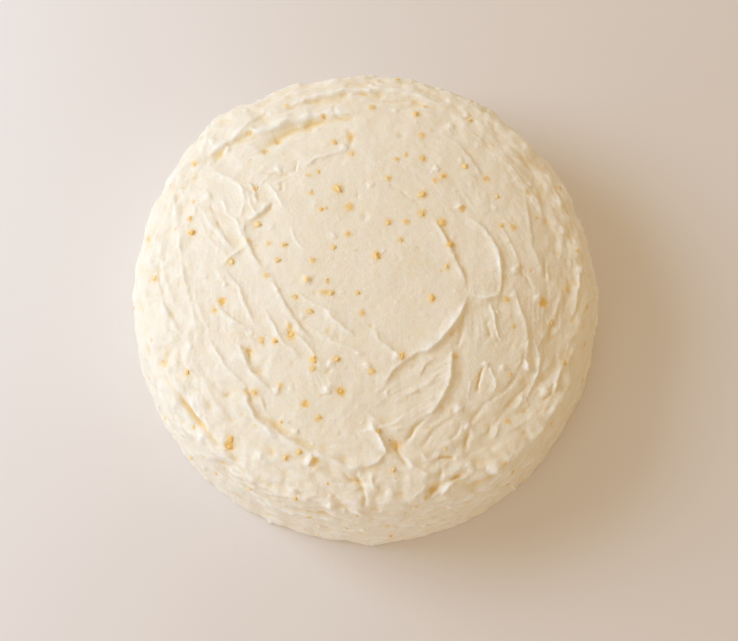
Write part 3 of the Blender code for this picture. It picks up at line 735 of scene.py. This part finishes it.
def cream_face(u, v):
    """How far the cream stands out from the bare form, and the tint of the fruit, on the cream laid flat."""
    x = u + MARK_BEND * hills(u / MARK_BEND_LENGTH, v / MARK_BEND_LENGTH, 1)
    y = v + MARK_BEND * hills(u / MARK_BEND_LENGTH, v / MARK_BEND_LENGTH, 2)
    x += MARK_WAVER * hills(u / MARK_WAVER_LENGTH, v / MARK_WAVER_LENGTH, 9)
    y += MARK_WAVER * hills(u / MARK_WAVER_LENGTH, v / MARK_WAVER_LENGTH, 10)
    length = np.hypot(u, v)
    still, calm = calmed(CALM_LEDGE, u, v), calmed(CALM_LEFT_EDGE, u, v)
    rough = ease(*ROUGH_FROM, np.hypot(u - SMOOTH_CENTRE[0], v - SMOOTH_CENTRE[1]))
    edge = still * (ease(*EDGE_FROM, length) - 0.5 * ease(*WALL_FROM, length))
    fine = 1 - 0.5 * ease(*LESS_FINE_FROM, length)
    height = hilly(BROAD_HILLS, u, v, rough, edge) + hilly(UNEVEN_HILLS, x, y, rough, edge)
    height += fine * hilly(FINE_HILLS, x, y, rough, edge)
    height += calm * hilly(HILLS_ON_THE_EDGE, x, y, rough, edge)
    height += still * folds_round_the_edge(u, v) + fall_on_the_right(u, v)
    patches = 0.6 + 0.8 * hills(u / STREAK_PATCH, v / STREAK_PATCH, 15)
    ridges = STREAK_HEIGHT + STREAK_HEIGHT_WHERE_ROUGH * rough * calm
    height += fine * ridges * streaks(u, v) * patches
    height += calm * marks_in(x, y)
    raised, tint = bits_in(u, v)
    return height + raised, tint


def bulge_size(angle):
    """How far the outline stands out from the round at each azimuth."""
    total = np.zeros_like(angle)
    for bulge in BULGES:
        away = (np.degrees(angle) - bulge.azimuth + 180) % 360 - 180
        total += bulge.size * np.exp(-((away / bulge.width) ** 2))
    return total


def spread(length, angle, raised, laid_out):
    """Places in space of points on the cream laid flat, once they stand out by what is given."""
    radius, height, slope = laid_out.place(length)
    # At the foot the cream moves only sideways, so that the base stays flat
    outward = radius + raised * np.sin(slope) + bulge_size(angle) * ease(BULGES_FROM, TOP_RADIUS, radius)
    upward = height + raised * np.cos(slope) * ease(*FOOT_FROM, height)
    return np.stack([outward * np.cos(angle), outward * np.sin(angle), upward], axis=-1)


def blurred(field, width):
    """A square field of heights, smoothed by a bell curve of that many cells."""
    reach = np.arange(-3 * width, 3 * width + 1)
    bell = np.exp(-((reach / width) ** 2) / 2)
    bell /= bell.sum()
    for axis in (0, 1):
        field = np.apply_along_axis(np.convolve, axis, field, bell, mode="same")
    return field


def depth_below_neighbours(u, v, height):
    """How many millimetres each point lies below the cream within a few millimetres of it."""
    ticks = np.arange(-FIELD_HALF, FIELD_HALF + 1, dtype=float)
    field_u, field_v = np.meshgrid(ticks, ticks, indexing="ij")
    field = cream_face(field_u.ravel(), field_v.ravel())[0].reshape(field_u.shape)
    around = blurred(field, NEIGHBOURHOOD)
    column, row = np.floor(u).astype(int) + FIELD_HALF, np.floor(v).astype(int) + FIELD_HALF
    right, up = u - np.floor(u), v - np.floor(v)
    low = around[column, row] * (1 - right) + around[column + 1, row] * right
    high = around[column, row + 1] * (1 - right) + around[column + 1, row + 1] * right
    return low * (1 - up) + high * up - height


def new_object(mesh, name):
    """Puts a mesh, a light or a camera into the scene."""
    thing = bpy.data.objects.new(name, mesh)
    bpy.context.scene.collection.objects.link(thing)
    return thing


def applied(thing):
    """Puts an object's modifiers into its mesh."""
    graph = bpy.context.evaluated_depsgraph_get()
    mesh = bpy.data.meshes.new_from_object(thing.evaluated_get(graph))
    thing.modifiers.clear()
    thing.data = mesh
    return thing


def store(mesh, name, values):
    """Keeps a value for each point, where the finishes and the geometry nodes can read it."""
    mesh.attributes.new(name, "FLOAT", "POINT").data.foreach_set("value", values.astype(np.float32))


def net_faces(rings, around):
    """Faces of a net of rings about one middle point, which is corner 0."""
    ring = 1 + np.arange(rings - 1)[:, None] * around
    here, after = np.arange(around)[None, :], (np.arange(around)[None, :] + 1) % around
    quads = np.stack([ring + here, ring + around + here, ring + around + after, ring + after], axis=-1)
    middle = np.stack([np.zeros(around, int), 1 + here[0], 1 + after[0]], axis=-1)
    return middle, quads.reshape(-1, 4)


def cream_mesh(laid_out):
    """The coat as a fine net, with what its finish needs to know at each corner."""
    lengths = laid_out.lengths[1:]
    turns = np.arange(TURN_STEPS) * math.tau / TURN_STEPS
    length = np.append(0, np.repeat(lengths, TURN_STEPS))
    angle = np.append(0, np.tile(turns, len(lengths)))
    u, v = length * np.cos(angle), length * np.sin(angle)
    height, tint = cream_face(u, v)
    points = spread(length, angle, height, laid_out)
    middle, quads = net_faces(len(lengths), TURN_STEPS)
    mesh = bpy.data.meshes.new("coat")
    mesh.vertices.add(len(points))
    mesh.vertices.foreach_set("co", (points * MM).ravel())
    corners = np.concatenate([middle.ravel(), quads.ravel()])
    mesh.loops.add(len(corners))
    mesh.loops.foreach_set("vertex_index", corners)
    starts = np.append(np.arange(len(middle)) * 3, middle.size + np.arange(len(quads)) * 4)
    mesh.polygons.add(len(starts))
    mesh.polygons.foreach_set("loop_start", starts)
    mesh.update(calc_edges=True)
    # Depth below the neighbours, which the finish turns into painted shade in hollows and a painted
    # highlight on crests
    store(mesh, "hollow", depth_below_neighbours(u, v, height))
    store(mesh, "fruit", tint)
    return mesh


def close_base(mesh):
    """Levels the open rim at the foot and fills it."""
    shape = bmesh.new()
    shape.from_mesh(mesh)
    rim = [edge for edge in shape.edges if edge.is_boundary]
    for edge in rim:
        for corner in edge.verts:
            corner.co.z = 0
    base = bmesh.ops.holes_fill(shape, edges=rim)["faces"]
    bmesh.ops.triangulate(shape, faces=base)
    bmesh.ops.recalc_face_normals(shape, faces=shape.faces)
    shape.to_mesh(mesh)
    shape.free()
    mesh.shade_smooth()


def cream_coat(laid_out):
    """The coat of cream over the whole cake, thinned where it is smooth and closed underneath."""
    coat = new_object(cream_mesh(laid_out), "cream_coat")
    thin = coat.modifiers.new("thin", "DECIMATE")
    thin.ratio = COAT_TRIANGLES / (2 * len(coat.data.polygons))
    applied(coat)
    close_base(coat.data)
    coat.data.materials.append(whipped_cream())
    return coat


def add(tree, kind, into=(), **settings):
    """Adds a node, with its settings and the links or values of its inputs."""
    node = tree.nodes.new(kind)
    for name, value in settings.items():
        setattr(node, name, value)
    for name, value in dict(into).items():
        if isinstance(value, bpy.types.NodeSocket):
            tree.links.new(value, node.inputs[name])
        else:
            node.inputs[name].default_value = value
    return node


def linear(colour):
    """An sRGB hex colour as the linear one that the nodes take."""
    parts = [int(colour[start:start + 2], 16) / 255 for start in (1, 3, 5)]
    return (*(part / 12.92 if part <= 0.04045 else ((part + 0.055) / 1.055) ** 2.4 for part in parts), 1.0)


def cloud_scale(width):
    """The scale of a noise whose clouds are this many millimetres wide."""
    return 1 / (width * MM)


def new_material(name):
    """A material, its tree of nodes and its shader."""
    material = bpy.data.materials.new(name)
    material.use_nodes = True
    return material, material.node_tree, material.node_tree.nodes["Principled BSDF"]


def whipped_cream():
    """Whipped cream, spread with a blade: pale, soft and dull, with a fine grain.

    Light goes a short way into it, so that thin crests glow. It is yellower in clouds where juice has gone
    into it and where fruit shows through. Its hollows are painted yellower, as painted shade for the light
    that scatters in the cream there and partly as juice, and its crests are painted whiter, as a painted
    highlight.
    """
    material, tree, shader = new_material("whipped_cream")
    place = add(tree, "ShaderNodeTexCoord").outputs["Object"]
    hollow = add(tree, "ShaderNodeAttribute", attribute_name="hollow").outputs["Fac"]
    fruit = add(tree, "ShaderNodeAttribute", attribute_name="fruit").outputs["Fac"]
    clouds = add(
        tree,
        "ShaderNodeTexNoise",
        {"Vector": place, "Scale": cloud_scale(JUICE_WIDTH), "Detail": 3.0},
    )
    juice = add(
        tree,
        "ShaderNodeMapRange",
        {"Value": clouds.outputs["Fac"], "From Min": 0.5, "From Max": 0.75, "To Max": 0.18},
    )
    # Painted shade, partly juice: the deeper a point lies below its neighbours, the yellower the cream
    painted_shade_and_juice = add(
        tree,
        "ShaderNodeMapRange",
        {"Value": hollow, "From Min": PAINTED_SHADE_AND_JUICE_DEPTHS[0], "From Max": PAINTED_SHADE_AND_JUICE_DEPTHS[1], "To Max": 1.0},
    )
    # A painted highlight: the higher a point stands above its neighbours, the whiter the cream
    crest = add(
        tree,
        "ShaderNodeMapRange",
        {"Value": hollow, "From Min": PAINTED_HIGHLIGHT_DEPTHS[0], "From Max": PAINTED_HIGHLIGHT_DEPTHS[1], "To Max": 0.8},
    )
    colour = linear(CREAM)
    for share, other in (
        (juice.outputs[0], PAINTED_SHADE_AND_JUICE_YELLOW),
        (painted_shade_and_juice.outputs[0], PAINTED_SHADE_AND_JUICE_YELLOW),
        (crest.outputs[0], PAINTED_HIGHLIGHT_ON_CRESTS),
        (fruit, CREAM_OVER_FRUIT),
    ):
        blend = add(tree, "ShaderNodeMix", {0: share, 6: colour, 7: linear(other)}, data_type="RGBA")
        colour = blend.outputs[2]
    tree.links.new(colour, shader.inputs["Base Color"])
    curd = add(
        tree,
        "ShaderNodeTexNoise",
        {"Vector": place, "Scale": cloud_scale(CURD_WIDTH), "Detail": 2.0},
    )
    low = add(
        tree,
        "ShaderNodeBump",
        {"Height": curd.outputs["Fac"], "Strength": 0.4, "Distance": CURD_HEIGHT * MM},
    )
    grain = add(
        tree,
        "ShaderNodeTexNoise",
        {"Vector": place, "Scale": cloud_scale(GRAIN_WIDTH), "Detail": 4.0},
    )
    whole = add(
        tree,
        "ShaderNodeBump",
        {
            "Height": grain.outputs["Fac"],
            "Strength": 0.5,
            "Distance": GRAIN_HEIGHT * MM,
            "Normal": low.outputs[0],
        },
    )
    tree.links.new(whole.outputs[0], shader.inputs["Normal"])
    shader.inputs["Roughness"].default_value = 0.5
    shader.inputs["IOR"].default_value = 1.4
    shader.inputs["Subsurface Weight"].default_value = 0.45
    shader.inputs["Subsurface Radius"].default_value = (1.0, 0.85, 0.6)
    shader.inputs["Subsurface Scale"].default_value = CREAM_LIGHT_DEPTH * MM
    return material


def pineapple():
    """Crushed tinned pineapple: wet and half clear, pale yellow to orange from bit to bit."""
    material, tree, shader = new_material("crushed_pineapple")
    place = add(tree, "ShaderNodeTexCoord").outputs["Object"]
    cloud = add(
        tree,
        "ShaderNodeTexNoise",
        {"Vector": place, "Scale": cloud_scale(RIPENESS_WIDTH), "Detail": 2.0},
    )
    ripe = add(
        tree,
        "ShaderNodeMapRange",
        {"Value": cloud.outputs["Fac"], "From Min": 0.35, "From Max": 0.65},
    )
    colour = add(
        tree,
        "ShaderNodeMix",
        {0: ripe.outputs[0], 6: linear(PINEAPPLE_PALE), 7: linear(PINEAPPLE_RIPE)},
        data_type="RGBA",
    )
    tree.links.new(colour.outputs[2], shader.inputs["Base Color"])
    shader.inputs["Roughness"].default_value = 0.42
    shader.inputs["IOR"].default_value = 1.38
    shader.inputs["Subsurface Weight"].default_value = 0.25
    shader.inputs["Subsurface Radius"].default_value = (1.0, 0.8, 0.4)
    shader.inputs["Subsurface Scale"].default_value = PINEAPPLE_LIGHT_DEPTH * MM
    return material


def painted_board():
    """Board with a dull pale paint on it, an even ground without gloss."""
    material, tree, shader = new_material("painted_board")
    shader.inputs["Base Color"].default_value = linear(FLOOR_PAINT)
    shader.inputs["Roughness"].default_value = 0.8
    return material


def bits_tree():
    """Geometry nodes that grow one uneven bit at each point, as large as the point's size says.

    A bit is a ball, squeezed and turned at random, with lumps on its face.
    """
    tree = bpy.data.node_groups.new("pineapple_bits", "GeometryNodeTree")
    tree.interface.new_socket("Geometry", in_out="INPUT", socket_type="NodeSocketGeometry")
    for name in ("Unevenness", "Lump size"):
        tree.interface.new_socket(name, in_out="INPUT", socket_type="NodeSocketFloat")
    tree.interface.new_socket("Finish", in_out="INPUT", socket_type="NodeSocketMaterial")
    tree.interface.new_socket("Geometry", in_out="OUTPUT", socket_type="NodeSocketGeometry")
    given = add(tree, "NodeGroupInput").outputs
    points = add(tree, "GeometryNodeMeshToPoints", {"Mesh": given["Geometry"]})
    ball = add(tree, "GeometryNodeMeshIcoSphere", {"Radius": 1.0, "Subdivisions": 2})
    turn = add(
        tree,
        "FunctionNodeRandomValue",
        {"Max": (math.tau,) * 3, "Seed": 3},
        data_type="FLOAT_VECTOR",
    )
    squeeze = add(
        tree,
        "FunctionNodeRandomValue",
        {"Min": (BIT_SHARES[0],) * 3, "Max": (BIT_SHARES[1],) * 3, "Seed": 4},
        data_type="FLOAT_VECTOR",
    )
    size = add(tree, "GeometryNodeInputNamedAttribute", {"Name": "size"})
    scale = add(
        tree,
        "ShaderNodeVectorMath",
        {0: squeeze.outputs[0], "Scale": size.outputs["Attribute"]},
        operation="SCALE",
    )
    grown = add(
        tree,
        "GeometryNodeInstanceOnPoints",
        {
            "Points": points.outputs[0],
            "Instance": ball.outputs[0],
            "Rotation": turn.outputs[0],
            "Scale": scale.outputs[0],
        },
    )
    whole = add(tree, "GeometryNodeRealizeInstances", {"Geometry": grown.outputs[0]})
    place = add(tree, "GeometryNodeInputPosition").outputs[0]
    cells = add(
        tree,
        "ShaderNodeVectorMath",
        {0: place, 1: given["Lump size"]},
        operation="DIVIDE",
    )
    noise = add(
        tree,
        "ShaderNodeTexNoise",
        {"Vector": cells.outputs[0], "Scale": 1.0, "Detail": 1.0},
    )
    centred = add(
        tree,
        "ShaderNodeVectorMath",
        {0: noise.outputs["Color"], 1: (0.5, 0.5, 0.5)},
        operation="SUBTRACT",
    )
    push = add(
        tree,
        "ShaderNodeVectorMath",
        {0: centred.outputs[0], "Scale": given["Unevenness"]},
        operation="SCALE",
    )
    moved = add(tree, "GeometryNodeSetPosition", {"Geometry": whole.outputs[0], "Offset": push.outputs[0]})
    smooth = add(tree, "GeometryNodeSetShadeSmooth", {"Geometry": moved.outputs[0]})
    finished = add(
        tree,
        "GeometryNodeSetMaterial",
        {"Geometry": smooth.outputs[0], "Material": given["Finish"]},
    )
    add(tree, "NodeGroupOutput", {"Geometry": finished.outputs[0]})
    return tree


def bits_of_pineapple(laid_out):
    """The bare bits, each sunk in its hollow of the cream."""
    spots = bare_bits()
    length, angle = np.hypot(spots[:, 0], spots[:, 1]), np.arctan2(spots[:, 1], spots[:, 0])
    raised = cream_face(spots[:, 0], spots[:, 1])[0]
    places = spread(length, angle, raised - BIT_DEPTH * spots[:, 2], laid_out)
    mesh = bpy.data.meshes.new("bits")
    mesh.from_pydata([tuple(place * MM) for place in places], [], [])
    store(mesh, "size", spots[:, 2] * MM)
    bits = new_object(mesh, "pineapple_bits")
    grow = bits.modifiers.new("grow", "NODES")
    grow.node_group = bits_tree()
    values = {"Unevenness": BIT_UNEVENNESS * MM, "Lump size": BIT_LUMP_SIZE * MM, "Finish": pineapple()}
    for item in grow.node_group.interface.items_tree:
        if item.name in values:
            grow[item.identifier] = values[item.name]
    return applied(bits)


def floor():
    """A plain level floor, far wider than the view."""
    shape = bmesh.new()
    bmesh.ops.create_grid(shape, x_segments=1, y_segments=1, size=FLOOR_HALF)
    mesh = bpy.data.meshes.new("floor")
    shape.to_mesh(mesh)
    shape.free()
    ground = new_object(mesh, "floor")
    ground.data.materials.append(painted_board())
    return ground


def aimed(thing, place, target):
    """Puts a camera or a light in its place and turns it to its target."""
    thing.location = place
    thing.rotation_euler = (Vector(target) - Vector(place)).to_track_quat("-Z", "Y").to_euler()


def camera():
    """Looks down on the cake from the front, as in the photograph."""
    lens = bpy.data.cameras.new("camera")
    lens.lens = CAMERA_LENS
    lens.sensor_width = CAMERA_SENSOR
    eye = new_object(lens, "camera")
    x, y, z = CAMERA_TARGET
    back, up = CAMERA_DISTANCE * math.cos(CAMERA_ELEVATION), CAMERA_DISTANCE * math.sin(CAMERA_ELEVATION)
    aimed(eye, (x, y - back, z + up), CAMERA_TARGET)
    bpy.context.scene.camera = eye


def soft_box(box):
    """Hangs one of the studio lights."""
    lamp = bpy.data.lights.new(box.name, "AREA")
    lamp.size = box.side
    lamp.energy = box.watts
    lamp.color = linear(box.colour)[:3]
    aimed(new_object(lamp, box.name), box.place, LIGHTS_TARGET)


def studio_light():
    """Cool daylight from a window on the left, weaker light from in front and behind, and a warm room."""
    for box in SOFT_BOXES:
        soft_box(box)
    world = bpy.data.worlds.new("studio")
    world.use_nodes = True
    room = world.node_tree.nodes["Background"]
    room.inputs["Color"].default_value = linear(ROOM_LIGHT)
    room.inputs["Strength"].default_value = ROOM_STRENGTH
    bpy.context.scene.world = world
    bpy.context.scene.view_settings.view_transform = "Standard"


def main():
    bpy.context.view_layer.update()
    laid_out = LaidOut()
    coat = cream_coat(laid_out)
    bits = bits_of_pineapple(laid_out)
    for piece, slot in ((coat, "whipped_cream"), (bits, "pineapple")):
        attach(piece, "root")
    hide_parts("frosted_cake")
    floor()
    camera()
    studio_light()


main()
